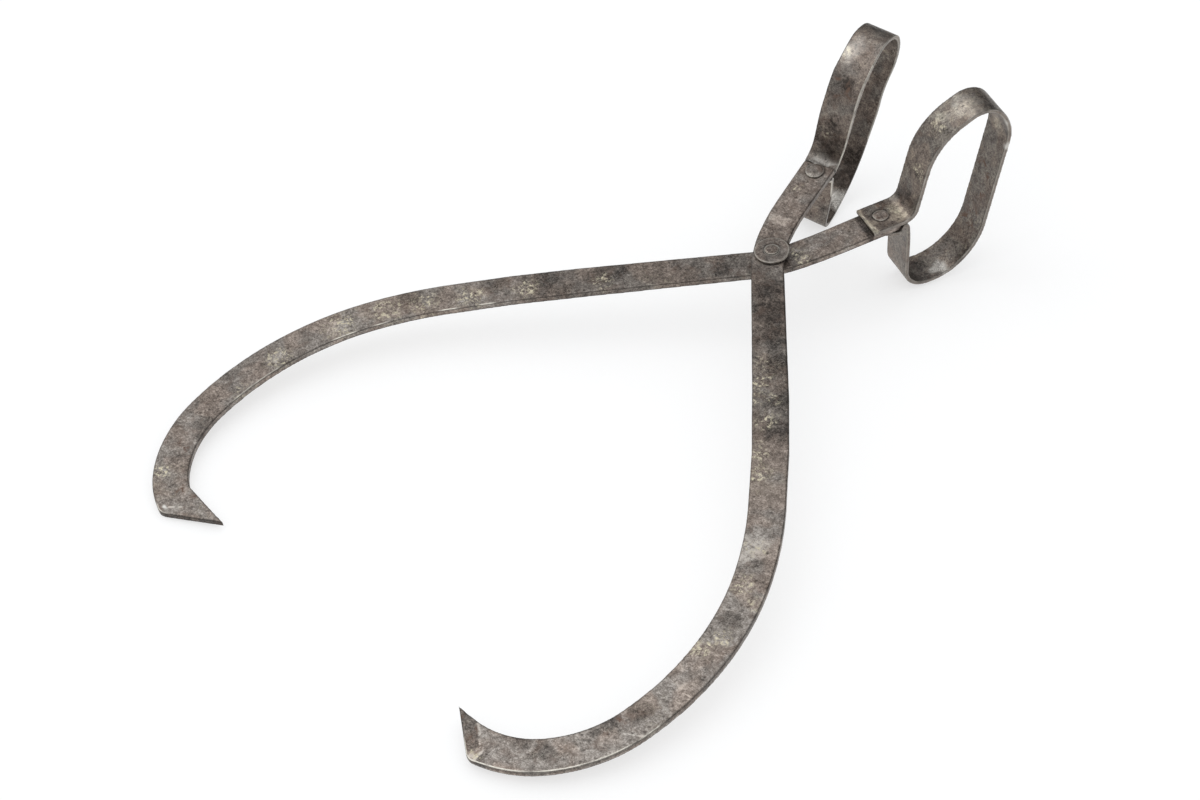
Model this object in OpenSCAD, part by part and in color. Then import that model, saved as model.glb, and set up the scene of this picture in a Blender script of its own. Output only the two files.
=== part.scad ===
// Lifting tongs. Two flat curved arms cross on one rivet, and each arm ends in
// a closed grip bent from flat strip. Millimetres. The arms lie level, +Y points
// to the grips, +Z is up the pivot rivet, and the origin is the middle of the
// rivet's flat lower head.

/* [Arm bar] */
// Width of the flat bar that the arms are made of
bar_w = 19; // [17:0.5:20]
// Thickness of the arm bar
bar_t = 4; // [3.4:0.1:4.4]
// How much narrower the bar is at the pivot
waist = 1.6; // [0:0.1:2.4]

/* [Arm curve] */
// Slope of the long straight run below the pivot, from the X axis
cross_angle = 46.6; // [43:0.1:50]
// How far the middle of that run passes outside the pivot
neck_offset = 2.6; // [1:0.1:3.4]
// Bend of the neck at the pivot
neck_turn = 19; // [15:1:22]
// Length of the straight run below the neck
straight_run = 91; // [70:1:100]
// Length of the long gentle curve
sweep_len = 73.6; // [60:0.2:90]
// Bend along the long gentle curve
sweep_turn = 4.7; // [2:0.1:8]
// Length of the shoulder curve
shoulder_len = 41.2; // [34:0.2:50]
// Bend along the shoulder curve
shoulder_turn = 10.8; // [8:0.2:14]
// Length of the flank curve
flank_len = 102.6; // [90:0.2:112]
// Bend along the flank curve
flank_turn = 36.3; // [32:0.1:40]
// Length of the knee curve
knee_len = 43.8; // [38:0.2:50]
// Bend along the knee curve
knee_turn = 34.7; // [30:0.1:38]
// Bend of the lower arm between the neck and its grip
lower_tail_turn = 4.5; // [2:0.5:8]
// Bend of the upper arm between the neck and its grip
upper_tail_turn = 9; // [4:0.5:11]
// Straight run of the lower arm up to its grip rivet
lower_tail_run = 26; // [24:1:32]
// Straight run of the upper arm up to its grip rivet
upper_tail_run = 28; // [24:1:32]

/* [Lower arm point] */
// Bend of the inner edge past the knee, up to where the point starts
lower_throat_turn = 18; // [10:1:24]
// Bend of the outer edge past the knee, up to the heel
lower_hook_turn = 26; // [22:1:32]
// Length of bar that would bend through 90 degrees at the hook
lower_hook_len = 78; // [70:1:90]
// Direction of the slanting end cut, from the X axis
lower_cut_angle = 150.5; // [144:0.5:154]
// Length of the straight end cut, from the heel to the point
lower_cut_len = 31; // [26:0.5:33]

/* [Upper arm point] */
// Bend of the inner edge past the knee, up to where the point starts
upper_throat_turn = 45; // [36:1:48]
// Bend of the outer edge past the knee, up to the heel
upper_hook_turn = 33; // [29:1:36]
// Length of bar that would bend through 90 degrees at the hook
upper_hook_len = 84; // [76:1:90]
// Direction of the slanting end cut, from the X axis
upper_cut_angle = 143.5; // [140:0.5:148]
// Length of the straight end cut, from the heel to the point
upper_cut_len = 27.5; // [25:0.5:30]

/* [Both points] */
// Radius of the rounded heel
heel_r = 7; // [4:0.5:10]
// Depth of the bevel that thins the end cut
bevel_depth = 1.1; // [0.5:0.1:2.4]
// Width of the bevel beside the end cut
bevel_w = 7; // [4:0.5:10]

/* [Grips] */
// Width of the strip that the grips are bent from
strip_w = 21; // [19:0.5:23]
// Thickness of the grip strip
strip_t = 2.6; // [2:0.1:3]
// Length of the straight back of the grips
back_len = 55; // [48:0.5:66]
// Height of the front rise of the right grip
right_rise = 24; // [18:1:30]
// Height of the front rise of the left grip
left_rise = 27; // [18:1:30]
// Overlap of the upper tab past the rivet, towards the pivot
upper_tab_end = 9.5; // [8:0.5:12]
// Overlap of the lower tab past the rivet
lower_tab_end = 5.5; // [5:0.5:12]
// Width of the lower tab
lower_tab_w = 17; // [15:0.5:21]
// Turn of the right grip outwards from its arm
right_splay = 1; // [0:1:5]
// Turn of the left grip outwards from its arm
left_splay = 3; // [-2:1:6]
// Lean of the left grip about its arm, top towards the other grip
left_lean = 14; // [0:1:16]

/* [Rivets] */
// Diameter of the pivot rivet's shank
pivot_d = 7; // [6:0.1:8]
// Diameter of the pivot rivet's flat lower head
pivot_head_d = 13; // [11:0.5:15]
// Thickness of the pivot rivet's lower head
pivot_head_h = 2.4; // [1.8:0.1:3]
// Diameter of the hammered end of the pivot rivet
peen_d = 9.6; // [9:0.1:11]
// Height of the hammered end
peen_h = 1.2; // [0.8:0.1:1.6]
// Diameter of the washer under the hammered end
washer_d = 19; // [17:0.5:20]
// Thickness of the washer
washer_t = 1.6; // [1.2:0.1:2]
// Diameter of the shanks of the grip rivets
grip_rivet_d = 6; // [5:0.1:7]
// Diameter of the heads of the grip rivets
grip_head_d = 9.4; // [8.5:0.1:10.5]
// Height of the heads of the grip rivets
grip_head_h = 1.3; // [0.9:0.1:1.8]

/* [Hidden] */

$fn = 96;
running_gap = 0.05;        // radial play of the pivot, and the gap between the arms
fixed_gap = 0.02;          // play of a hammered rivet in a part that it holds
step_angle = 3;            // longest bend drawn as one straight facet
cut_extra = 1;             // how far a cutter runs past what it cuts
neck_drop = 12;            // where the neck bend ends below the pivot, along the arm
neck_len = 26;             // length of the neck bend
tail_curve = 24;           // length of the slow bend above the neck
arm_end = 6;               // bar left beyond the grip rivet
waist_reach = 100;         // distance from the pivot where the bar has its full width
bend_r = 8;                // middle radius of the bend where the strip leaves its arm
lower_bend_r = 3.5;        // middle radius of the tight bend below the arm

arm_z = pivot_head_h;                    // underside of the lower arm
parting_z = arm_z + bar_t;               // top of the lower arm
upper_z = parting_z + running_gap;       // underside of the upper arm
washer_z = upper_z + bar_t + running_gap;
iron = [0.33, 0.31, 0.29];
worn_iron = [0.42, 0.40, 0.37];
strip_iron = [0.37, 0.36, 0.33];
rivet_iron = [0.36, 0.32, 0.30];

// A place on a path is [x, y, heading]. A run is [length, bend], bend in degrees.
function onward(p, length, bend) = let (a = p[2] + bend / 2)
    [p[0] + length * cos(a), p[1] + length * sin(a), p[2] + bend];
function run_places(p, length, bend, n) = n == 0 ? [] :
    let (q = onward(p, length, bend)) concat([q], run_places(q, length, bend, n - 1));
function places(p, runs, i = 0) = i == len(runs) ? [] :
    let (n = max(1, ceil(abs(runs[i][1]) / step_angle)),
         new = run_places(p, runs[i][0] / n, runs[i][1] / n, n))
    concat(new, places(new[n - 1], runs, i + 1));
function beside(path, d) = [for (p = path) [p[0] - d * sin(p[2]), p[1] + d * cos(p[2]), p[2]]];
function half_bar(p) = (bar_w - waist * max(0, 1 - norm([p[0], p[1]]) / waist_reach)) / 2;
function bar_side(path, side) = [for (p = path) beside([p], side * half_bar(p))[0]];
function flat(path) = [for (p = path) [p[0], p[1]]];
function reversed(v) = [for (i = [len(v) - 1 : -1 : 0]) v[i]];
function last(v) = v[len(v) - 1];
function arc_len(r, bend) = r * abs(bend) * PI / 180;

// Path of an arm's long end, from the foot of the neck bend down to the hook
neck = [neck_drop * cos(cross_angle) - neck_offset * sin(cross_angle),
        -neck_drop * sin(cross_angle) - neck_offset * cos(cross_angle), -cross_angle];
long_runs = [[straight_run, 0], [sweep_len, -sweep_turn], [shoulder_len, -shoulder_turn],
             [flank_len, -flank_turn], [knee_len, -knee_turn]];
function hook_path(len_per_90, bend) =
    concat([neck], places(neck, concat(long_runs, [[bend * len_per_90 / 90, -bend]])));

// Path of its short end, from the foot of the neck bend up to the grip rivet
function tail_path(turn, run) = let (start = [neck[0], neck[1], neck[2] + 180])
    concat([start], places(start, [[neck_len, -neck_turn], [tail_curve, -turn], [run, 0]]));
lower_tail = tail_path(lower_tail_turn, lower_tail_run);
upper_tail = tail_path(upper_tail_turn, upper_tail_run);

// The edges of an arm's long end: the inner edge up to the throat, and the outer edge
// with the rounded heel and the end cut, which runs to the point
lower_throat = bar_side(hook_path(lower_hook_len, lower_throat_turn), -1);
upper_throat = bar_side(hook_path(upper_hook_len, upper_throat_turn), -1);
lower_edge = pointed_edge(hook_path(lower_hook_len, lower_hook_turn), lower_cut_angle, lower_cut_len);
upper_edge = pointed_edge(hook_path(upper_hook_len, upper_hook_turn), upper_cut_angle, upper_cut_len);
function pointed_edge(path, cut_angle, cut_len) =
    let (edge = bar_side(path, 1), heel_bend = cut_angle - 360 - last(edge)[2])
    concat(edge, places(last(edge), [[arc_len(heel_r, heel_bend), heel_bend], [cut_len, 0]]));

module arm_outline(tail, throat, edge) {
    whole_tail = concat(tail, [onward(last(tail), arm_end, 0)]);
    polygon(flat(concat(
        reversed(bar_side(whole_tail, -1)), edge, reversed(throat),
        bar_side(whole_tail, 1))));
}

// Wedge that thins the end cut from above: it pivots on a line along the cut
module bevel_cutter(point) {
    slope = atan(bevel_depth / bevel_w);
    translate([point[0], point[1], bar_t - bevel_depth]) rotate([0, 0, point[2] + 180])
        rotate([slope, 0, 0]) translate([-bar_w, -bar_w, 0]) cube([4 * bar_w, 4 * bar_w, bar_w]);
}

module arm(tail, throat, edge, pivot_gap) {
    difference() {
        linear_extrude(bar_t) arm_outline(tail, throat, edge);
        bevel_cutter(last(edge));
        translate([0, 0, -cut_extra]) cylinder(d = pivot_d + 2 * pivot_gap, h = bar_t + 2 * cut_extra);
        translate([last(tail)[0], last(tail)[1], -cut_extra])
            cylinder(d = grip_rivet_d + 2 * fixed_gap, h = bar_t + 2 * cut_extra);
    }
}

module lower_arm() {
    color(iron) translate([0, 0, arm_z]) mirror([1, 0, 0])
        arm(lower_tail, lower_throat, lower_edge, fixed_gap);
}

module upper_arm() {
    color(worn_iron) translate([0, 0, upper_z])
        arm(upper_tail, upper_throat, upper_edge, running_gap);
}

// Grip path, seen from the side: u runs along the arm from the rivet, v is up
// from the underside of the upper tab. It ends where the front leg starts.
tab_flat = 9;              // flat of the upper tab beyond the rivet
joint_lap = 0.5;           // how far the loop runs into each flat tab
tab_gap = 0.1;             // gap between the left grip's two tabs
function grip_runs(rise) = [
    [joint_lap, 0], [arc_len(bend_r, 73), 73], [rise, 0], [34, -51], [6, 0], [19, -78], [23, -50],
    [back_len + rise - right_rise, 0], [27, -41], [23, -45], [17, -78]];

module strip(path, w = strip_w) {
    rotate([90, 0, 0]) translate([0, 0, -w / 2]) linear_extrude(w)
        polygon(flat(concat(beside(path, strip_t / 2), reversed(beside(path, -strip_t / 2)))));
}

// One grip with its rivet hole at the origin. lower_v is the height of the top of
// the lower tab, and the loop between the tabs leans about the arm's direction.
module grip(rise, lower_v, lean) {
    start = [tab_flat - joint_lap, strip_t / 2, 0];
    loop = concat([start], places(start, grip_runs(rise)));
    bottom = last(loop);
    leg_top = lower_v - strip_t / 2 - lower_bend_r;
    leg = onward(bottom, leg_top - bottom[1], 0);
    hooked = concat([leg], places(leg, [[arc_len(lower_bend_r, 90), 90], [joint_lap, 0]]));
    lower_end = last(hooked);
    difference() {
        union() {
            rotate([lean, 0, 0]) strip(concat(loop, hooked));
            strip([[-upper_tab_end, strip_t / 2, 0], [tab_flat - joint_lap / 2, strip_t / 2, 0]]);
            strip([[lower_end[0] + joint_lap / 2, lower_end[1], 180],
                   [-lower_tab_end, lower_end[1], 180]], lower_tab_w);
        }
        translate([0, 0, lower_v - strip_t - cut_extra])
            cylinder(d = grip_rivet_d + 2 * fixed_gap, h = 4 * bar_t + 4 * strip_t);
    }
}

// Puts parts at an arm's grip rivet, with local X along the arm and a further turn outwards
module at_lower_grip(z, splay) {
    spot = last(lower_tail);
    translate([-spot[0], spot[1], z]) rotate([0, 0, 180 - spot[2] - splay]) children();
}

module at_upper_grip(z, splay) {
    spot = last(upper_tail);
    translate([spot[0], spot[1], z]) rotate([0, 0, spot[2] + splay]) children();
}

module right_grip() {
    color(strip_iron) at_lower_grip(parting_z, right_splay)
        grip(right_rise, -bar_t - fixed_gap, 0);
}

module left_grip() {
    color(strip_iron) at_upper_grip(upper_z - strip_t, left_splay)
        grip(left_rise, -tab_gap, left_lean);
}

// A shank with a head at its foot and a hammered head at its top, each worked
// from a low dome
module rivet(shank_d, grip_h, foot_d, foot_h, top_d, top_h) {
    translate([0, 0, -foot_h]) cylinder(d = foot_d, h = foot_h);
    cylinder(d = shank_d, h = grip_h);
    translate([0, 0, grip_h]) low_dome(top_d, top_h);
}

// Flat-topped dome: a disc with a coned shoulder
module low_dome(d, h) {
    cylinder(d = d, h = h / 2);
    translate([0, 0, h / 2]) cylinder(d1 = d, d2 = 0.7 * d, h = h / 2);
}

module pivot_rivet() {
    color(rivet_iron) translate([0, 0, arm_z])
        rivet(pivot_d, washer_z + washer_t - arm_z, pivot_head_d, pivot_head_h, peen_d, peen_h);
}

module pivot_washer() {
    color(worn_iron) translate([0, 0, washer_z]) difference() {
        cylinder(d = washer_d, h = washer_t);
        translate([0, 0, -cut_extra]) cylinder(d = pivot_d + 2 * fixed_gap, h = washer_t + 2 * cut_extra);
    }
}

module right_grip_rivet() {
    grip_h = strip_t + bar_t + fixed_gap + strip_t;
    color(rivet_iron) at_lower_grip(parting_z + strip_t - grip_h, 0)
        rivet(grip_rivet_d, grip_h, grip_head_d, grip_head_h, grip_head_d, grip_head_h);
}

module left_grip_rivet() {
    grip_h = bar_t + strip_t + tab_gap + strip_t;
    color(rivet_iron) at_upper_grip(upper_z + bar_t - grip_h, 0)
        rivet(grip_rivet_d, grip_h, grip_head_d, grip_head_h, grip_head_d, grip_head_h);
}

lower_arm();
upper_arm();
right_grip();
left_grip();
pivot_rivet();
pivot_washer();
right_grip_rivet();
left_grip_rivet();
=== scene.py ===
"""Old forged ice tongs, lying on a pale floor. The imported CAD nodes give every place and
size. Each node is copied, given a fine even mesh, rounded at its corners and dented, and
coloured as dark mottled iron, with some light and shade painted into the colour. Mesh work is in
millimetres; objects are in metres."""

import math

import bmesh
import bpy
import numpy as np
from mathutils import Matrix, Vector
from mathutils.kdtree import KDTree


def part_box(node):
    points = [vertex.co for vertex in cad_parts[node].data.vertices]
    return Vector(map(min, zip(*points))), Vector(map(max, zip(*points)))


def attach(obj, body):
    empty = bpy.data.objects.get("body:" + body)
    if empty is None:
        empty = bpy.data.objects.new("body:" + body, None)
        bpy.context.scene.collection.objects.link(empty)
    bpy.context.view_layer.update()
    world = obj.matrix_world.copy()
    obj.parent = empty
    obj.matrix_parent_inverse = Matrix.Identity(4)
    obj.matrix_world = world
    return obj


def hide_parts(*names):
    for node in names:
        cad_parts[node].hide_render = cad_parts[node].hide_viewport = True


MM = 0.001
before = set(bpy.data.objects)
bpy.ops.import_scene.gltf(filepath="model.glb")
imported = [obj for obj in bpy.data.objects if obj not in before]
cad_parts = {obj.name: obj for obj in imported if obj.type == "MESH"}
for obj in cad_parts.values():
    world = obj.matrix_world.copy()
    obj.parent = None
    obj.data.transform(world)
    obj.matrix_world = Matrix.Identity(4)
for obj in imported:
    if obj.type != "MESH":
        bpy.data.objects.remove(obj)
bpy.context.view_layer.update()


# ---------------------------------------------------------------- places, in millimetres

def centre_of(node):
    low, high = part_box(node)
    return np.array((low + high) / 2) / MM


def direction(heading):
    return np.array([math.cos(math.radians(heading)), math.sin(math.radians(heading)), 0.0])


def across(along):
    return np.array([along[1], -along[0], 0.0])


UP = np.array([0.0, 0.0, 1.0])
RIGHT_RIVET = centre_of("right_grip_rivet")
LEFT_RIVET = centre_of("left_grip_rivet")
RIGHT_ALONG = direction(69.0)       # from the rivet out along each grip
LEFT_ALONG = direction(108.5)
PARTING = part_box("lower_arm")[1].z / MM         # height where the arms meet
WASHER_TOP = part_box("pivot_washer")[1].z / MM
STRIP = 2.6                         # thickness of the strip that the grips are bent from


# ---------------------------------------------------------------- noise on points

def hashed(cell, seed):
    """A repeatable number from 0 to 1 for each integer cell."""
    h = cell.astype(np.int64) & 0xFFFFFFFF
    x = (h[:, 0] * 374761393 + h[:, 1] * 668265263 + h[:, 2] * 2246822519 + seed * 3266489917)
    x = x & 0xFFFFFFFF
    x = ((x ^ (x >> 13)) * 1274126177) & 0xFFFFFFFF
    x = ((x ^ (x >> 16)) * 2654435761) & 0xFFFFFFFF
    return (x ^ (x >> 15)) / 4294967295.0


def smooth_noise(points, size, seed):
    """Smooth noise from -1 to 1 whose bumps are about size millimetres wide."""
    p = points / size
    cell = np.floor(p)
    f = p - cell
    f = f * f * (3 - 2 * f)
    total = np.zeros(len(p))
    for corner in np.ndindex(2, 2, 2):
        c = np.array(corner)
        weight = np.prod(np.where(c, f, 1 - f), axis=1)
        total += weight * hashed(cell + c, seed)
    return 2 * total - 1


def layered(points, size, seed, layers=3):
    parts = [smooth_noise(points, size / 2 ** k, seed + k) / 2 ** k for k in range(layers)]
    return sum(parts) / (2 - 0.5 ** (layers - 1))


def nearest_seed(points, size, seed):
    """Distance to the nearest scattered point, in units of size, and that point's own number."""
    p = points / size
    cell = np.floor(p)
    best = np.full(len(p), 9.0)
    owner = np.zeros(len(p))
    for corner in np.ndindex(3, 3, 3):
        c = cell + np.array(corner) - 1
        place = c + np.stack([hashed(c, seed + k) for k in range(3)], axis=1)
        d = np.linalg.norm(p - place, axis=1)
        closer = d < best
        best = np.where(closer, d, best)
        owner = np.where(closer, hashed(c, seed + 3), owner)
    return best, owner


def step(low, high, x):
    t = np.clip((x - low) / (high - low), 0, 1)
    return t * t * (3 - 2 * t)


# ---------------------------------------------------------------- meshes

class Body:
    """A dense closed mesh under work: vertex places in millimetres and the edges between them."""

    def __init__(self, node, voxel):
        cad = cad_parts[node].data
        source = bpy.data.objects.new("work", cad.copy())
        bpy.context.scene.collection.objects.link(source)
        remesh = source.modifiers.new("even", "REMESH")
        remesh.mode = "VOXEL"
        remesh.voxel_size = voxel * MM
        ready = source.evaluated_get(bpy.context.evaluated_depsgraph_get())
        self.mesh = bpy.data.meshes.new_from_object(ready)
        bpy.data.objects.remove(source)
        self.mesh.materials.clear()
        self.at = self.places(self.mesh)
        self.cad = self.places(cad)
        ends = np.zeros(len(self.mesh.edges) * 2, np.int32)
        self.mesh.edges.foreach_get("vertices", ends)
        ends = ends.reshape(-1, 2)
        self.a = np.concatenate([ends[:, 0], ends[:, 1]])
        self.b = np.concatenate([ends[:, 1], ends[:, 0]])
        self.count = np.bincount(self.a, minlength=len(self.at))
        self.marks = {}
        corners = sharp_corners(cad)
        self.corner = np.array([corners.find(p)[2] for p in self.at])

    @staticmethod
    def places(mesh):
        at = np.zeros(len(mesh.vertices) * 3, np.float32)
        mesh.vertices.foreach_get("co", at)
        return at.reshape(-1, 3).astype(float) / MM

    def mean_of_neighbours(self, values):
        sums = [np.bincount(self.a, values[self.b, k], len(values)) for k in range(values.shape[1])]
        return np.stack(sums, axis=1) / self.count[:, None]

    def smooth(self, times, share=0.5):
        for _ in range(times):
            self.at += share * (self.mean_of_neighbours(self.at) - self.at)

    def draw_out_point(self, heading, reach=9.0):
        """Draws the sharp end of an arm back out to where it was before the rounding."""
        ahead = direction(heading)
        hooked_end = self.cad[:, 1].min() + 40
        cad = self.cad[self.cad[:, 1] < hooked_end]
        tip = cad[np.argmax(cad @ ahead)]
        gap = tip @ ahead - (self.at[self.at[:, 1] < hooked_end] @ ahead).max()
        share = 1 - step(gap, gap + reach, np.linalg.norm(self.at - tip, axis=1))
        self.at += ahead * (gap * share)[:, None]

    def normals(self):
        self.store()
        n = np.zeros(len(self.at) * 3, np.float32)
        self.mesh.vertex_normals.foreach_get("vector", n)
        return n.reshape(-1, 3).astype(float)

    def store(self):
        self.mesh.vertices.foreach_set("co", (self.at * MM).astype(np.float32).ravel())
        self.mesh.update()

    def dent(self, depth):
        """Moves the surface inwards by depth, in millimetres."""
        self.at -= self.normals() * depth[:, None]

    def mark(self, name, values):
        self.marks[name] = np.clip(self.marks.get(name, 0) + values, -1, 9)

    def mark_hollows(self):
        """hollow is 1 in creases and pits."""
        curve = np.sum((self.at - self.mean_of_neighbours(self.at)) * self.normals(), axis=1)
        curve = curve[:, None]
        for _ in range(2):
            curve = self.mean_of_neighbours(curve)
        self.mark("hollow", np.clip(-curve[:, 0] / 0.03, 0, 1))

    def finish(self, name, body, node, slot, material):
        self.mark_hollows()
        self.mark("corner", self.corner)
        self.store()
        for mark, values in self.marks.items():
            layer = self.mesh.attributes.new(mark, "FLOAT", "POINT")
            layer.data.foreach_set("value", values.astype(np.float32))
        for face in self.mesh.polygons:
            face.use_smooth = True
        self.mesh.name = name
        piece = bpy.data.objects.new(name, self.mesh)
        bpy.context.scene.collection.objects.link(piece)
        piece.data.materials.append(material)
        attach(piece, body)
        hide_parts(node)
        return piece


def sharp_corners(mesh):
    """A search tree of points every half millimetre along the sharp edges of a CAD mesh."""
    shape = bmesh.new()
    shape.from_mesh(mesh)
    bmesh.ops.remove_doubles(shape, verts=shape.verts, dist=0.001 * MM)
    points = []
    for edge in shape.edges:
        if len(edge.link_faces) == 2 and edge.calc_face_angle() > math.radians(25):
            a, b = (vertex.co / MM for vertex in edge.verts)
            pieces = max(1, math.ceil((b - a).length / 0.5))
            points += [a.lerp(b, k / pieces) for k in range(pieces + 1)]
    shape.free()
    tree = KDTree(len(points))
    for k, point in enumerate(points):
        tree.insert(point, k)
    tree.balance()
    return tree


def forge_marks(work, seed, undulation=0.22, hammer=0.10, pits=0.2, pit_share=0.5):
    """Dents a surface as a smith and a century of rust leave it: slow waves, shallow hammer
    dishes, and small pits that crowd together in patches. Corners stay nearly true."""
    p = work.at
    inside = 0.2 + 0.8 * step(0.3, 2.5, work.corner)
    waves = undulation * (0.5 + 0.5 * layered(p, 22, seed))
    d, _ = nearest_seed(p, 7.0, seed + 10)
    dishes = hammer * (1 - step(0.15, 0.75, d)) * inside
    d, owner = nearest_seed(p, 2.2, seed + 20)
    crowd = step(-0.15, 0.5, layered(p, 30, seed + 30, 2))
    pit = (1 - step(0.1, 0.42, d)) * (owner < pit_share * (0.25 + 0.75 * crowd)) * inside
    grain = 0.035 * (0.5 + 0.5 * smooth_noise(p, 1.1, seed + 40)) * inside
    work.dent(waves + dishes + pits * pit + grain)
    work.mark("pit", pit)


def spots(points, places, warp=3.0, seed=90):
    """1 inside any of the round places, given as (x, y, z, radius). warp shifts their soft
    outlines, in millimetres, and above 1 they are ragged too."""
    shift = np.stack([layered(points, 9, seed + 5 * k) for k in range(3)], axis=1)
    moved = points + warp * shift
    total = np.zeros(len(points))
    ragged = layered(points, 4.5, seed + 17)
    for x, y, z, radius in places:
        d = np.linalg.norm(moved - (x, y, z), axis=1) + 0.45 * radius * ragged * (warp > 1)
        total = np.maximum(total, 1 - step(0.45 * radius, 1.15 * radius, d))
    return total


# ---------------------------------------------------------------- materials

class Shader:
    """A short way to write a node tree. Sockets and plain numbers can be mixed freely."""

    def __init__(self, name):
        self.material = bpy.data.materials.new(name)
        self.material.use_nodes = True
        self.tree = self.material.node_tree
        self.surface = self.tree.nodes["Principled BSDF"]
        coordinates = self.tree.nodes.new("ShaderNodeTexCoord")
        self.place = self.vector("SCALE", coordinates.outputs["Object"], scale=1 / MM)

    def feed(self, socket, value):
        if isinstance(value, bpy.types.NodeSocket):
            self.tree.links.new(value, socket)
        else:
            socket.default_value = value

    def vector(self, operation, a, b=None, scale=None):
        node = self.tree.nodes.new("ShaderNodeVectorMath")
        node.operation = operation
        self.feed(node.inputs[0], a)
        if b is not None:
            self.feed(node.inputs[1], b)
        if scale is not None:
            self.feed(node.inputs["Scale"], scale)
        return node.outputs["Value" if operation in ("LENGTH", "DOT_PRODUCT", "DISTANCE") else "Vector"]

    def math(self, operation, a, b=0.0, c=0.0, clamp=False):
        node = self.tree.nodes.new("ShaderNodeMath")
        node.operation = operation
        node.use_clamp = clamp
        for socket, value in zip(node.inputs, (a, b, c)):
            self.feed(socket, value)
        return node.outputs[0]

    def mix(self, share, a, b, blend="MIX"):
        node = self.tree.nodes.new("ShaderNodeMix")
        node.data_type = "RGBA"
        node.blend_type = blend
        self.feed(node.inputs["Factor"], share)
        self.feed(node.inputs[6], a)
        self.feed(node.inputs[7], b)
        return node.outputs[2]

    def noise(self, size, detail=4.0, roughness=0.55, distortion=0.0, seed=0.0, place=None):
        shifted = self.vector("ADD", place or self.place, (seed * 31.7, seed * 17.3, seed * 23.9))
        node = self.tree.nodes.new("ShaderNodeTexNoise")
        self.feed(node.inputs["Vector"], shifted)
        node.inputs["Scale"].default_value = 1 / size
        node.inputs["Detail"].default_value = detail
        node.inputs["Roughness"].default_value = roughness
        node.inputs["Distortion"].default_value = distortion
        return node.outputs["Fac"]

    def between(self, value, low, high):
        """0 below low, 1 above high, smooth between."""
        node = self.tree.nodes.new("ShaderNodeMapRange")
        node.interpolation_type = "SMOOTHSTEP"
        self.feed(node.inputs["Value"], value)
        node.inputs["From Min"].default_value = low
        node.inputs["From Max"].default_value = high
        return node.outputs["Result"]

    def ramp(self, value, stops):
        node = self.tree.nodes.new("ShaderNodeValToRGB")
        self.feed(node.inputs["Fac"], value)
        elements = node.color_ramp.elements
        while len(elements) < len(stops):
            elements.new(0.5)
        for element, (place, colour) in zip(elements, stops):
            element.position = place
            element.color = (*colour, 1)
        return node.outputs["Color"]

    def mark(self, name):
        node = self.tree.nodes.new("ShaderNodeAttribute")
        node.attribute_name = name
        return node.outputs["Fac"]

    def bump(self, height, distance, strength=1.0, under=None):
        node = self.tree.nodes.new("ShaderNodeBump")
        self.feed(node.inputs["Height"], height)
        node.inputs["Distance"].default_value = distance * MM
        node.inputs["Strength"].default_value = strength
        if under is not None:
            self.feed(node.inputs["Normal"], under)
        return node.outputs["Normal"]


# Colours of the iron's layers. The first three stops are its dark oxide on every piece.
OXIDE = [(0.05, (0.036, 0.030, 0.026)), (0.30, (0.110, 0.094, 0.083)), (0.50, (0.200, 0.172, 0.150))]
PALE_BAR = [(0.70, (0.312, 0.274, 0.246)), (0.95, (0.54, 0.49, 0.44))]
PALE_STRIP = [(0.70, (0.305, 0.272, 0.228)), (0.95, (0.52, 0.475, 0.385))]
WARM_TINT, COOL_TINT = (1.04, 0.985, 0.95, 1), (0.98, 1.0, 1.01, 1)
HAIRLINE = (0.50, 0.46, 0.39, 1)
FLECK = (0.66, 0.60, 0.45, 1)
RUST = (0.150, 0.098, 0.074, 1)
IN_PIT = (0.045, 0.036, 0.030, 1)
IN_HOLLOW = (0.05, 0.043, 0.038, 1)
STRIP_SIDE_LIGHT = (0.26, 0.229, 0.206, 1)
GRIME_AND_SHADE = (0.050, 0.044, 0.040, 1)
RUBBED_AND_HIGHLIGHT = (0.76, 0.72, 0.64, 1)
PAINTED_SHEEN = (0.64, 0.62, 0.58, 1)


def oxide(s, seed, shade, strip, grains):
    """The mottled dark skin. grains are noises with the weight that each has in the tone."""
    tone = s.math("MULTIPLY_ADD", s.mark("tone"), 0.34, 0.46 + shade)
    for grain, weight in grains:
        tone = s.math("MULTIPLY_ADD", s.math("SUBTRACT", grain, 0.5), weight, tone)
    colour = s.ramp(tone, OXIDE + (PALE_STRIP if strip else PALE_BAR))
    hair = s.math("ABSOLUTE", s.math("SUBTRACT", s.noise(5, 3, 0.6, 1.2, seed + 9), 0.5))
    hair = s.math("MULTIPLY", s.math("SUBTRACT", 1.0, s.between(hair, 0.003, 0.011)),
                  s.between(s.noise(9, 2, 0.5, 0.0, seed + 10), 0.50, 0.62))
    colour = s.mix(s.math("MULTIPLY", hair, 0.45), colour, HAIRLINE)
    tint = s.mix(s.between(s.noise(17, 2, 0.5, 0.4, seed + 4), 0.42, 0.60), WARM_TINT, COOL_TINT)
    return s.mix(1.0, colour, tint, "MULTIPLY")


def flecked(s, seed, colour):
    """Yellowish flecks where the crust mark is."""
    patches = s.between(s.noise(6, 3, 0.6, 0.5, seed + 6), 0.40, 0.58)
    crust = s.math("MULTIPLY_ADD", patches, s.mark("crust"), s.math("MULTIPLY", s.mark("crust"), 0.25))
    flecks = s.math("MULTIPLY", s.between(s.noise(1.9, 4, 0.72, 0.5, seed + 5), 0.52, 0.57), crust)
    return s.mix(s.math("MULTIPLY", flecks, 0.85, clamp=True), colour, FLECK)


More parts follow.
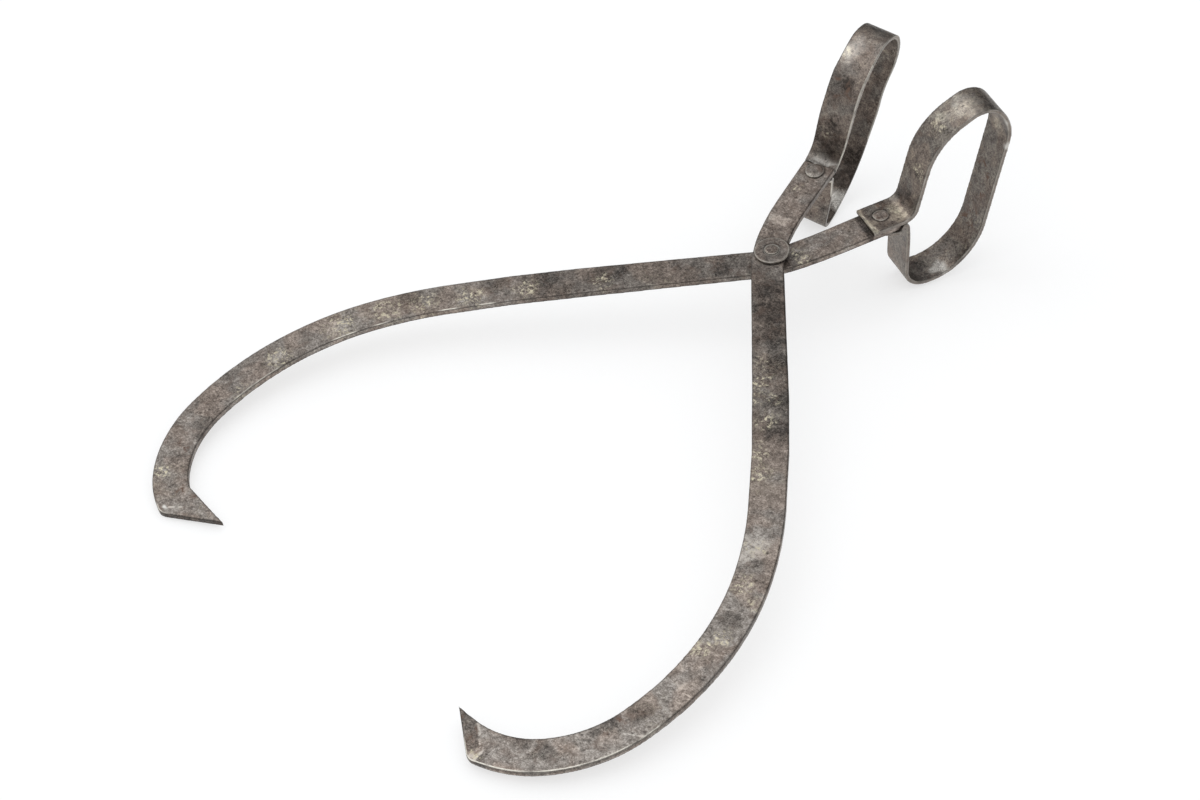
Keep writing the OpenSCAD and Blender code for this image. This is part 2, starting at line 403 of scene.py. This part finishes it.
def edge_wear_and_light(s, seed, colour, strip):
    """Grime with painted shade along the corners, rubbed metal with painted highlights, painted light on a
    strip's narrow faces, and a painted sheen.
    """
    side = s.mark("side")
    corner = s.mark("corner")
    patchiness = s.between(s.noise(4, 3, 0.6, 0.0, seed + 8), 0.30, 0.60)
    # Painted light: a strip's narrow faces are made lighter, in patches, a painted reflection of the pale
    # floor.
    if strip:
        painted_side_light = s.math("MULTIPLY", side, s.math("MULTIPLY_ADD", patchiness, 0.40, 0.15))
        colour = s.mix(painted_side_light, colour, STRIP_SIDE_LIGHT)
    # Darker along the corners: dirt, with painted shade for the dark line that a rounded corner shows.
    near = s.math("SUBTRACT", 1.0, s.between(corner, 0.55, 1.15))
    on_side = s.between(side, 0.30, 0.65)
    grime_and_shade = s.math("MULTIPLY_ADD", on_side, -0.2 if strip else 0.40, 0.50 if strip else 0.28)
    colour = s.mix(s.math("MULTIPLY", near, grime_and_shade), colour, GRIME_AND_SHADE)
    # Bright corners where that mark is set: rubbed metal and painted highlights.
    bright = s.math("MULTIPLY", s.math("SUBTRACT", 1.0, s.between(corner, 0.5, 1.0)), s.mark("wear_and_highlight"))
    bright = s.math("MULTIPLY", bright, s.math("MULTIPLY_ADD", patchiness, 0.45, 0.55), clamp=True)
    if not strip:
        bright = s.math("MULTIPLY", bright, s.math("SUBTRACT", 1.0, on_side))
    colour = s.mix(bright, colour, RUBBED_AND_HIGHLIGHT)
    # A painted sheen: pale, neutral highlights where the sheen mark is set.
    sheen = s.math("MULTIPLY", s.mark("sheen"), s.math("MULTIPLY_ADD", patchiness, 0.4, 0.6), clamp=True)
    return s.mix(sheen, colour, PAINTED_SHEEN)


def iron(name, seed, shade=0.0, rustiness=0.3, strip=False):
    """Old bare iron. The marks stored on the mesh say where: tone (light or dark, some of it painted
    shade), crust (flecks), rust, the bright-corner mark (rubbed metal and painted highlights), shine
    (smoother), sheen (a painted highlight, pale and neutral), pit, hollow (creases), side (narrow faces)
    and corner (distance to a corner, in millimetres). A missing mark is 0."""
    s = Shader(name)
    mottle = s.noise(5.5, 6, 0.68, 0.4, seed + 1)
    grit = s.noise(1.5, 4, 0.7, 0.2, seed + 2)
    speck = s.noise(0.7, 2, 0.6, 0.0, seed + 3)
    blotch = s.noise(3.4, 3, 0.6, 1.4, seed + 11)
    colour = oxide(s, seed, shade, strip,
                   [(blotch, 0.55), (mottle, 0.95), (grit, 0.70 if strip else 1.0), (speck, 0.85)])
    colour = flecked(s, seed, colour)
    rust = s.math("MULTIPLY", s.between(s.noise(7, 4, 0.65, 0.8, seed + 7), 0.50, 0.68),
                  s.math("ADD", s.mark("rust"), rustiness), clamp=True)
    colour = s.mix(rust, colour, RUST)
    colour = s.mix(s.math("MULTIPLY", s.mark("pit"), 0.6), colour, IN_PIT)
    colour = s.mix(s.math("MULTIPLY", s.mark("hollow"), 0.45), colour, IN_HOLLOW)
    s.feed(s.surface.inputs["Base Color"], edge_wear_and_light(s, seed, colour, strip))
    s.feed(s.surface.inputs["Metallic"], 0.85 if strip else 0.75)
    rough = s.math("MULTIPLY_ADD", mottle, 0.36, 0.22 if strip else 0.29)
    rough = s.math("MULTIPLY_ADD", s.mark("shine"), -0.14, rough)
    s.feed(s.surface.inputs["Roughness"], s.math("MULTIPLY_ADD", rust, 0.15, rough))
    height = s.math("MULTIPLY_ADD", mottle, 0.8, s.math("MULTIPLY", grit, 0.5))
    coarse = s.bump(height, 0.30, 0.55)
    s.feed(s.surface.inputs["Normal"], s.bump(speck, 0.07, 0.55, coarse))
    return s.material


# ---------------------------------------------------------------- painting marks on a mesh

def at_height(z, places):
    """Places (x, y, radius) on a flat top, as (x, y, z, radius)."""
    return [(x, y, z, radius) for x, y, radius in places]


def patina(work, seed, pale=(), dark=(), crust=(), rust=(), shine=(), contrast=0.6):
    """Marks where the iron is light, dark, flecked, rusty or smooth."""
    p = work.at
    work.mark("tone", contrast * (spots(p, pale) - spots(p, dark, seed=70))
              + 0.25 * layered(p, 24, seed))
    work.mark("crust", spots(p, crust, seed=110) + 0.25 * step(0.1, 0.6, layered(p, 26, seed + 3)))
    work.mark("rust", spots(p, rust, seed=130))
    work.mark("shine", spots(p, shine, seed=150))
    for name in ("wear_and_highlight", "side"):
        work.mark(name, np.zeros(len(p)))


def scratch(work, start, end, strength=0.9):
    """A thin bright scratch from one place to another."""
    start, end = np.array(start, float), np.array(end, float)
    along = end - start
    share = np.clip((work.at - start) @ along / (along @ along), 0, 1)
    d = np.linalg.norm(work.at - start - share[:, None] * along, axis=1)
    work.mark("tone", strength * (1 - step(0.25, 0.75, d + 0.35 * smooth_noise(work.at, 1.5, 44))))


def around(points, centre, inner, outer, thickest):
    """1 in a ring about an upright axis, strongest towards the heading thickest."""
    away = points[:, :2] - centre[:2]
    d = np.linalg.norm(away, axis=1)
    turn = np.cos(np.arctan2(away[:, 1], away[:, 0]) - math.radians(thickest))
    reach = outer * (0.94 + 0.12 * turn + 0.05 * smooth_noise(points, 2.0, 61))
    return (d > inner - 0.6) * (1 - step(inner, reach, d)) * (0.65 + 0.35 * turn)


# ---------------------------------------------------------------- the arms

PIVOT = np.zeros(3)
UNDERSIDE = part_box("lower_arm")[0].z / MM
BAR = round(PARTING - UNDERSIDE, 3)       # thickness of an arm
UPPER_TOP = PARTING + (PARTING - UNDERSIDE)


def start_arm(node, seed, point_heading):
    work = Body(node, 0.5)
    work.smooth(4)
    work.draw_out_point(point_heading)
    forge_marks(work, seed)
    work.mark("side", 1 - np.abs(work.normals() @ UP))
    return work


def square_end_cut(work, back):
    """Fills the bevel that thins the end cut in the CAD. back is the distance from the cut."""
    thinned = 1.02 * (1 - np.clip(back / 7, 0, 1)) * (work.at[:, 1] < -280)
    work.at[:, 2] = UNDERSIDE + (work.at[:, 2] - UNDERSIDE) * BAR / (BAR - thinned)


def lean_tail_end(work, out):
    """Leans the arm's end, between the grip's tabs, so that it follows the strip's bend."""
    height_share = np.clip((work.at[:, 2] - UNDERSIDE) / (PARTING - UNDERSIDE), 0, 1)
    leaning = 2.4 * height_share * step(3.0, 5.2, out)
    work.at += (leaning * (work.at[:, 1] > 40))[:, None] * RIGHT_ALONG


def lower_arm():
    """Blue-black near the pivot, pale flecks along its middle, a brown hook with a rubbed heel and a
    painted glint on it.
    """
    work = start_arm("lower_arm", 3, 29.5)
    back_from_cut = (work.at - (-90.1, -310.4, PARTING)) @ direction(119.5)
    square_end_cut(work, back_from_cut)

    def top_spots(places, warp=3.0):
        return spots(work.at, at_height(PARTING, places), warp)

    patina(work, 3,
           pale=at_height(PARTING, [(-146, -183, 6), (-154, -218, 5), (7, 12, 3), (14, 9, 3)]),
           dark=at_height(PARTING, [(-61, -62, 10), (-87, -86, 11), (-104, -106, 8), (-134, -143, 8),
                                    (-145, -274, 9), (-130, -296, 9), (-14, -22, 7)]),
           crust=at_height(PARTING, [(-58, -70, 7), (-87, -99, 8), (-106, -123, 10), (-123, -142, 10),
                                     (-134, -157, 10), (-146, -183, 11), (-154, -218, 9), (8, 12, 5),
                                     (-149, -245, 7), (14, 9, 5), (-141, -309, 6)]),
           rust=at_height(PARTING, [(-122, -313, 6), (-113, -314, 3.5), (-118, -308, 5), (-140, -290, 9)]))
    from_pivot = np.linalg.norm(work.at[:, :2], axis=1)
    work.mark("tone", 0.40 * step(110, 175, from_pivot) - 0.10 + 0.42 * step(8, 22, work.at[:, 1]))
    # Bright corners: rubbed metal, with painted highlights along the inner edge and the hook.
    inner_edge = [(-138, -185, 8), (-127, -168, 6), (-108, -137, 6), (-94, -121, 5)]
    work.mark("wear_and_highlight", top_spots([(-121, -322, 6)], 0.3)
              + 0.7 * top_spots([(-149, -231, 11), (-149, -246, 9)], 0.5)
              + 1.0 * top_spots(inner_edge, 1.0))
    # A painted glint on the heel, pale and neutral.
    heel_glint = top_spots([(-121, -323, 1.9), (-119.4, -323.6, 1.7)], 1.3)
    work.mark("sheen", 1.2 * heel_glint * step(-0.6, 0.3, smooth_noise(work.at, 1.6, 83)))
    work.mark("crust", -1.0 * top_spots([(-120.2, -323, 6)], 0.8))
    scratch(work, (-119, -321.8, PARTING), (-114.2, -317.8, PARTING), 1.5)
    # Painted shade on the end face at the point, which lies close over the floor.
    shaded_end_face = (back_from_cut < 1.2) * (work.at[:, 1] < -300) * step(0.35, 0.6, work.marks["side"])
    work.mark("tone", -1.1 * shaded_end_face)
    work.mark("crust", -1.0 * shaded_end_face)
    from_rivet = work.at - RIGHT_RIVET
    out = from_rivet @ RIGHT_ALONG
    lean_tail_end(work, out)
    # A painted shadow of the grip's upper tab on the arm, just past the tab's end.
    tab_shadow = 1 - step(0.7, 2.0, np.abs(out + 10.9))
    work.mark("tone", -1.2 * tab_shadow * (np.abs(from_rivet @ across(RIGHT_ALONG)) < 10.5))
    work.finish("lower_arm_iron", "lower_half", "lower_arm", "lower_arm_iron",
                iron("lower_arm_iron", 3, 0.015))


def upper_arm():
    """Dark and pitted below the pivot with flecks on its inner side, a smooth blue-grey stretch,
    a pale patch at the shoulder, and a paler blotched hook with a ground facet at its point."""
    work = start_arm("upper_arm", 5, 143.5)
    dark_neck = [(18, -22, 9), (30, -32, 12), (44, -43, 11), (60, -56, 10), (76, -73, 9), (89, -90, 9),
                 (-4, 40, 4)]
    dark_sweep = [(137, -160, 4), (150, -192, 6), (154, -259, 7), (148, -272, 7), (145, -281, 5)]
    dark_hook = [(125, -308, 5), (135, -303, 6), (134, -309, 3)]
    patina(work, 5,
           pale=at_height(UPPER_TOP, [(128, -154, 10), (125, -163, 7), (158, -238, 4), (-13, 20, 6)]),
           dark=at_height(UPPER_TOP, dark_neck + dark_sweep + dark_hook),
           crust=at_height(UPPER_TOP, [(50, -64, 7), (59, -72, 6), (68, -79, 8), (78, -90, 7),
                                       (88, -107, 7), (99, -117, 7), (130, -154, 7), (153, -180, 6),
                                       (154, -204, 6), (-22, 44, 4), (112, -326, 4), (140, -175, 8),
                                       (148, -215, 8)]),
           rust=at_height(UPPER_TOP, [(148, -275, 8)]),
           shine=at_height(UPPER_TOP, [(112, -122, 14), (128, -154, 12), (150, -290, 30)]),
           contrast=0.75)
    from_pivot = np.linalg.norm(work.at[:, :2], axis=1)
    work.mark("tone", -0.25 * (1 - step(95, 130, from_pivot)) * (work.at[:, 1] < -12)
              + 0.42 * step(130, 200, from_pivot))
    work.mark("tone", 0.18 * step(14, 24, work.at[:, 1]))
    near_top = work.at[:, 2] > PARTING + 2
    # A painted highlight, with some rubbed metal, along the hook's outer top corner.
    outer_hook = at_height(UPPER_TOP, [(112, -326, 12), (130, -322, 12), (148, -305, 14),
                                       (162, -285, 13), (170, -265, 9)])
    work.mark("wear_and_highlight", 1.3 * spots(work.at, outer_hook, 0.5) * near_top)
    back_from_cut = (work.at - (88, -311.6, UPPER_TOP)) @ direction(53.5)
    facet = 1 - step(6.4, 7.2, back_from_cut + 0.4 * smooth_noise(work.at, 4, 47))
    work.mark("tone", -0.75 * facet * (work.at[:, 1] < -290))
    work.mark("rust", 0.5 * facet * (work.at[:, 1] < -290))
    heel = at_height(UPPER_TOP, [(112.5, -327, 3.0), (113, -323.5, 2.4)])
    work.mark("tone", 2.0 * spots(work.at, heel, 1.2))
    # Painted shade on the side faces just under the top corner, along the hook.
    shade_under_corner = (work.at[:, 2] > UPPER_TOP - 2.3) * step(0.6, 0.9, work.marks["side"])
    work.mark("tone", -0.7 * shade_under_corner * (work.at[:, 1] < -150))
    work.mark("tone", -0.55 * around(work.at, PIVOT, 9.6, 12.5, 110))
    # Painted shade in the crevice around the grip's rivet, darkest on one side.
    work.mark("tone", -1.1 * around(work.at, LEFT_RIVET, 5.3, 6.9, 100) * near_top)
    scratches = [((101.3, -313), (106.5, -317.3), 1.4), ((108.5, -319), (115, -324.4), 1.4),
                 ((162.3, -239), (166.7, -238.3), 1.6), ((158, -272.8), (167.8, -266.8), 0.9)]
    for start, end, strength in scratches:
        scratch(work, (*start, UPPER_TOP), (*end, UPPER_TOP), strength)
    work.mark("shine", np.full(len(work.at), 0.3))
    work.finish("upper_arm_iron", "upper_half", "upper_arm", "upper_arm_iron",
                iron("upper_arm_iron", 5, 0.045))


# ---------------------------------------------------------------- the grips

def start_grip(node, along, seed):
    work = Body(node, 0.45)
    work.smooth(4)
    forge_marks(work, seed, undulation=0.12, hammer=0.06, pits=0.16)
    work.mark("side", np.abs(work.normals() @ across(along)))
    return work


def close_lower_leg(work, out, aside):
    """The lower tab is narrow under the arm and widens to meet its leg. The leg stands further
    out than in the CAD, and its bend closes up under the upper tab."""
    lower_tab = (np.abs(work.at[:, 2] - PARTING + 5.3) < 1.6) * (out < 5.0)
    widening = 0.22 * step(0, 4.9, out) - 0.28 * (1 - step(-3, 2, out))
    work.at += (aside * widening * lower_tab)[:, None] * across(RIGHT_ALONG)
    leg = (work.at[:, 2] < 5) * (out < 30) * step(-34, -6, work.at[:, 2])
    moved_out = 2.0 * leg * step(0.5, 6, out)
    work.at += moved_out[:, None] * RIGHT_ALONG
    work.at[:, 2] += 4.9 * leg * step(5.5, 10, out + moved_out)


def right_grip():
    """Grey-brown, rubbed pale over its top under a faint painted sheen, with a painted highlight inside
    its lower bend and a chipped pale edge on the tab."""
    work = start_grip("right_grip", RIGHT_ALONG, 7)
    patina(work, 7,
           pale=[(46, 104, 63, 8), (50, 125, 42, 7), (36, 97, 58, 5)],
           dark=[(27, 74, 14, 7), (34, 76, 16, 6), (32, 80, -42, 6), (52, 95, -36, 6), (36, 77, 30, 3)],
           crust=[(38, 90, 57, 5), (36, 76, 32, 5), (30, 66, 9, 5)],
           rust=[(46, 116, 5, 14), (43, 110, -20, 10), (22, 60, 9, 6)],
           shine=[(24, 66, 9, 6), (43, 85, -41, 10), (44, 101, 60, 10)], contrast=0.8)
    # Painted highlights: inside the lower bend, faintly over the top, and on the near edge.
    work.mark("sheen", 0.7 * spots(work.at, [(43, 85, -42, 6)])
              + 0.17 * spots(work.at, [(46, 106, 62, 10)]))
    work.mark("sheen", 0.8 * spots(work.at, [(60, 117, 50, 4), (62, 121, 34, 3)], 1.5))
    work.mark("tone", 0.9 * spots(work.at, [(28, 67, 9, 5), (34, 63, 9, 5), (27, 50, 9, 3)], 1.5))
    scratch(work, (34, 95, 57), (38.5, 90.5, 56))
    out = (work.at - RIGHT_RIVET) @ RIGHT_ALONG
    aside = (work.at - RIGHT_RIVET) @ across(RIGHT_ALONG)
    close_lower_leg(work, out, aside)
    tab_lip = (1 - step(-8.2, -6.6, out + 0.8 * smooth_noise(work.at, 3, 75))) \
        * step(PARTING + 1.2, PARTING + 2.3, work.at[:, 2])
    work.dent(0.6 * tab_lip * step(-0.2, 0.6, layered(work.at, 3.5, 77)))
    work.mark("tone", 1.5 * tab_lip)
    work.mark("crust", 0.8 * tab_lip)
    # Painted shade on the tab's end face, which faces away from the light.
    shaded_tab_end = (out < -8.9) * (work.at[:, 2] < PARTING + 1.7)
    work.mark("tone", -1.9 * shaded_tab_end * (work.marks["side"] < 0.6))
    work.mark("crust", -1.0 * shaded_tab_end)
    # Painted shade in the crevice around the rivet's head, darkest on one side.
    work.mark("tone", -1.3 * around(work.at, RIGHT_RIVET, 4.6, 5.8, 150) * (work.at[:, 2] > PARTING + 1))
    # Painted highlights, with some rubbed metal, along the strip's narrow faces.
    work.mark("wear_and_highlight", (work.marks["side"] > 0.2) * (0.2 + 0.4 * step(0.0, 0.5, layered(work.at, 16, 79))))
    work.finish("right_grip_iron", "lower_half", "right_grip", "strip_iron",
                iron("right_grip_strip", 7, -0.025, strip=True))


def twist_left_grip(work):
    """The left grip was bent a little askew: above its tab it twists and bows to the pivot's side."""
    over = across(LEFT_ALONG)
    lean = math.radians(14)
    rise = work.at[:, 2] - PARTING
    out = (work.at - LEFT_RIVET) @ LEFT_ALONG
    aside = (work.at - LEFT_RIVET) @ over
    off = aside - math.tan(lean) * np.clip(rise, 0, 99)      # from the middle of the leaning strip
    level = rise + off * math.sin(lean)
    top = step(28, 58, level)
    turn = np.radians(6.5 * step(4, 30, level) + 5.5 * top)
    move_out = (out - 50) * (np.cos(turn) - 1) - off * np.sin(turn)
    move_aside = off * (np.cos(turn) - 1) + (out - 50) * np.sin(turn)
    front = 1 - step(26, 44, out)
    more = np.radians(13) * front * step(0, 32, level) * (1 - step(36, 60, level))
    move_out -= off * np.sin(more)
    move_aside += off * (np.cos(more) - 1)
    pull = 1.2 + 1.8 * step(-26, -2, level) - 3.0 * step(2, 28, level)
    under_arm = (np.abs(rise + 2.6) < 3.4) * (1 - step(2, 9, out))
    move_aside -= front * step(-2, 10, off) * np.maximum(pull, 5 * under_arm)
    move_aside -= 1.9 * step(24, 60, level) + 2.0 * step(-5, 25, level) * step(36, 56, out)
    work.at += move_out[:, None] * LEFT_ALONG + move_aside[:, None] * over
    work.at[:, 2] += (off * math.sin(lean) + 0.9) * top


def left_grip():
    """Darker, with a pale patch near its top, a small round dent on its front leg, painted highlights
    across its first bend and inside its lower bend, and a painted highlight down its near corner."""
    work = start_grip("left_grip", LEFT_ALONG, 11)
    patina(work, 11,
           pale=[(-33, 103, 59, 7)],
           dark=[(-21, 94, 49, 4), (-31, 77, 20, 9), (-26, 80, 24, 7), (-40, 111, -27, 9),
                 (-42, 103, -36, 8), (-24, 74, 14, 6), (-28, 72, -26, 6)],
           crust=[(-34, 103, 58, 5)],
           rust=[(-24, 92, 46, 7)],
           shine=[(-29, 69, 8, 7), (-33, 103, 59, 10), (-37, 92, -43, 10)], contrast=0.8)
    bend = (work.at - LEFT_RIVET) @ LEFT_ALONG - 10.6 + 0.8 * smooth_noise(work.at, 6, 55)
    # A painted highlight band across the strip where it bends up from its tab.
    bend_highlight = (np.abs(work.at[:, 2] - PARTING - 4) < 5) * (1 - step(1.0, 4.4, np.abs(bend)))
    work.mark("sheen", 0.75 * bend_highlight * step(-0.7, 0.3, layered(work.at, 9, 57)))
    # Painted highlights inside the lower bend and, faintly, near the top.
    work.mark("sheen", 0.8 * spots(work.at, [(-37, 92, -43, 7)])
              + 0.22 * spots(work.at, [(-30, 106, 61, 9)]))
    work.mark("crust", 0.5 * spots(work.at, [(-30, 78, 22, 5)]))
    from_dent = np.linalg.norm(work.at - (-24.5, 83, 30), axis=1)
    work.dent(0.25 * (1 - step(1.6, 3.0, from_dent)))
    work.mark("tone", -0.5 * (1 - step(0.5, 1.0, np.abs(from_dent - 2.6))))
    near_side = (work.at - LEFT_RIVET) @ across(LEFT_ALONG) > 6
    under_arm = (np.abs(work.at[:, 2] - PARTING + 2.6) < 3.4) * (bend < 0)
    front_leg = (work.at - LEFT_RIVET) @ LEFT_ALONG < 42
    # A painted highlight, with some rubbed metal, down the near corner, most on the front leg.
    work.mark("wear_and_highlight", (0.35 + 0.45 * front_leg) * near_side * (1 - under_arm))
    # Painted shade on the tab's narrow faces under the arm.
    work.mark("tone", -1.3 * under_arm * (work.marks["side"] > 0.4))
    twist_left_grip(work)
    work.finish("left_grip_iron", "upper_half", "left_grip", "strip_iron",
                iron("left_grip_strip", 11, -0.05, strip=True))


# ---------------------------------------------------------------- rivets and washer

def hammered(node, body, seed, from_z, flatten, ragged, shade, girth=1.0):
    """A rivet. Its upper head, above from_z, is knocked flatter and a little out of round, and
    girth widens or narrows it."""
    work = Body(node, 0.25)
    work.smooth(4)
    head = work.at[:, 2] > from_z
    work.at[head, 2] = from_z + (work.at[head, 2] - from_z) * flatten
    away = work.at - centre_of(node)
    away[:, 2] = 0
    out = away / np.maximum(np.linalg.norm(away, axis=1), 0.5)[:, None]
    gathered = step(from_z - 0.25, from_z + 0.1, work.at[:, 2])      # gradual, so that nothing folds
    pull = ragged * (0.5 + 0.5 * smooth_noise(work.at * (1, 1, 0.2), 3.2, seed)) * gathered
    work.at -= out * (pull * step(2.0, 4.0, np.linalg.norm(away, axis=1)))[:, None]
    work.at -= away * ((1 - girth) * gathered)[:, None]
    forge_marks(work, seed, undulation=0.10, hammer=0.16, pits=0.14)
    patina(work, seed)
    work.mark("rust", np.full(len(work.at), 0.2))
    # Bright corners all round the rivet: rubbed metal and painted highlights.
    work.mark("wear_and_highlight", np.full(len(work.at), 0.3))
    work.finish(node + "_iron", body, node, "rivet_iron", iron(node + "_iron", seed, shade, 0.4))


def pivot_washer():
    """A thin washer with a ring of painted shade in the crevice about the pivot rivet's head."""
    work = Body("pivot_washer", 0.25)
    work.smooth(4)
    forge_marks(work, 17, undulation=0.12, hammer=0.1, pits=0.12)
    patina(work, 17)
    # Painted shade in the crevice about the rivet's head, darkest on one side.
    work.mark("tone", -1.5 * around(work.at, PIVOT, 3.9, 5.8, 150))
    # Bright corners on the washer's top: rubbed metal and painted highlights.
    work.mark("wear_and_highlight", 0.35 * (work.at[:, 2] > WASHER_TOP - 0.8))
    work.finish("pivot_washer_iron", "lower_half", "pivot_washer", "washer_iron",
                iron("pivot_washer_iron", 17, 0.02, 0.35))


lower_arm()
upper_arm()
right_grip()
left_grip()
hammered("pivot_rivet", "lower_half", 13, WASHER_TOP, 0.6, 0.5, -0.04, 0.84)
hammered("right_grip_rivet", "lower_half", 19, PARTING + STRIP, 0.5, 0.8, 0.09)
hammered("left_grip_rivet", "upper_half", 23, UPPER_TOP, 1.0, 0.5, 0.03, 1.2)
pivot_washer()


# ---------------------------------------------------------------- floor, light and camera

def floor():
    """A pale floor under the points and the grips, which are lower, so it slopes with them."""
    grips_low = min(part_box("right_grip")[0].z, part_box("left_grip")[0].z)
    grips_y = (RIGHT_RIVET[1] + 35) * MM              # about where the grips are lowest
    points_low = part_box("lower_arm")[0].z
    points_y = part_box("lower_arm")[0].y + 0.002       # just inside the lower arm's heel
    slope = (grips_low - points_low) / (grips_y - points_y)
    middle_y = -0.13
    clearance = 0.0004
    bpy.ops.mesh.primitive_circle_add(vertices=128, radius=1.6, fill_type="NGON")
    ground = bpy.context.object
    ground.name = "floor"
    ground.rotation_euler = (math.atan(slope), 0, 0)
    ground.location = (0, middle_y, points_low + slope * (middle_y - points_y) - clearance)
    s = Shader("pale_floor")
    s.feed(s.surface.inputs["Base Color"], (0.40, 0.40, 0.40, 1))
    s.feed(s.surface.inputs["Emission Color"], (1, 1, 1, 1))      # so that shadows stay faint
    s.feed(s.surface.inputs["Emission Strength"], 0.60)
    s.feed(s.surface.inputs["Roughness"], 0.9)
    ground.data.materials.append(s.material)
    return ground


def softbox(name, place, target, size, power):
    light = bpy.data.lights.new(name, "AREA")
    light.shape = "RECTANGLE"
    light.size, light.size_y = size
    light.energy = power
    lamp = bpy.data.objects.new(name, light)
    lamp.location = place
    lamp.rotation_euler = (Vector(target) - Vector(place)).to_track_quat("-Z", "Y").to_euler()
    bpy.context.scene.collection.objects.link(lamp)


def surroundings():
    """White to the camera. Dull surfaces get even light from all round; the metal's sheen
    mirrors a dim room with one broad soft light overhead, so bends show dark and light bands."""
    world = bpy.data.worlds.new("studio")
    bpy.context.scene.world = world
    world.use_nodes = True
    world.cycles.sampling_method = "NONE"     # so that the ray kinds below are kept apart
    tree = world.node_tree
    tree.nodes.clear()
    new, link = tree.nodes.new, tree.links.new

    def background(strength):
        node = new("ShaderNodeBackground")
        node.inputs["Color"].default_value = (0.97, 0.985, 1.0, 1)
        if isinstance(strength, float):
            node.inputs["Strength"].default_value = strength
        else:
            link(strength, node.inputs["Strength"])
        return node.outputs[0]

    def fade(value, low, high, weak, strong):
        node = new("ShaderNodeMapRange")
        node.interpolation_type = "SMOOTHSTEP"
        link(value, node.inputs["Value"])
        for name, number in zip(("From Min", "From Max", "To Min", "To Max"), (low, high, weak, strong)):
            node.inputs[name].default_value = number
        return node.outputs["Result"]

    toward = new("ShaderNodeVectorMath")
    toward.operation = "DOT_PRODUCT"
    link(new("ShaderNodeTexCoord").outputs["Generated"], toward.inputs[0])
    toward.inputs[1].default_value = Vector((-0.42, -0.22, 0.88)).normalized()
    broad = fade(toward.outputs["Value"], 0.15, 0.92, 0.16, 0.85)
    core = fade(toward.outputs["Value"], 0.84, 0.97, 0.0, 0.75)
    both = new("ShaderNodeMath")
    link(broad, both.inputs[0])
    link(core, both.inputs[1])
    path = new("ShaderNodeLightPath")
    dull = new("ShaderNodeMixShader")
    link(path.outputs["Is Diffuse Ray"], dull.inputs[0])
    link(background(both.outputs[0]), dull.inputs[1])
    link(background(0.95), dull.inputs[2])
    seen = new("ShaderNodeMixShader")
    link(path.outputs["Is Camera Ray"], seen.inputs[0])
    link(dull.outputs[0], seen.inputs[1])
    link(background(1.0), seen.inputs[2])
    link(seen.outputs[0], new("ShaderNodeOutputWorld").inputs[0])


def camera():
    """Long lens, from the right and above, rolled a little as the photographer held it."""
    azimuth, elevation, roll = (math.radians(a) for a in (51.474, 47.391, -9.104))
    distance = 1.42609
    aim = Vector((0.0003, -0.1311, PARTING * MM))
    back = Vector((math.sin(azimuth) * math.cos(elevation),
                   -math.cos(azimuth) * math.cos(elevation), math.sin(elevation)))
    right = Vector((math.cos(azimuth), math.sin(azimuth), 0))
    up = back.cross(right)
    rolled_right = right * math.cos(roll) + up * math.sin(roll)
    rolled_up = up * math.cos(roll) - right * math.sin(roll)
    data = bpy.data.cameras.new("camera")
    data.lens = 83.70
    data.sensor_width = 36
    data.clip_start = 0.05
    data.clip_end = 50
    eye = bpy.data.objects.new("camera", data)
    turn = Matrix((rolled_right, rolled_up, back)).transposed().to_4x4()
    eye.matrix_world = Matrix.Translation(aim + back * distance) @ turn
    bpy.context.scene.collection.objects.link(eye)
    bpy.context.scene.camera = eye


floor()
softbox("overhead", (-0.25, -0.25, 1.5), (0, -0.1, 0), (1.6, 1.6), 4)
surroundings()
camera()
bpy.context.scene.view_settings.view_transform = "Standard"
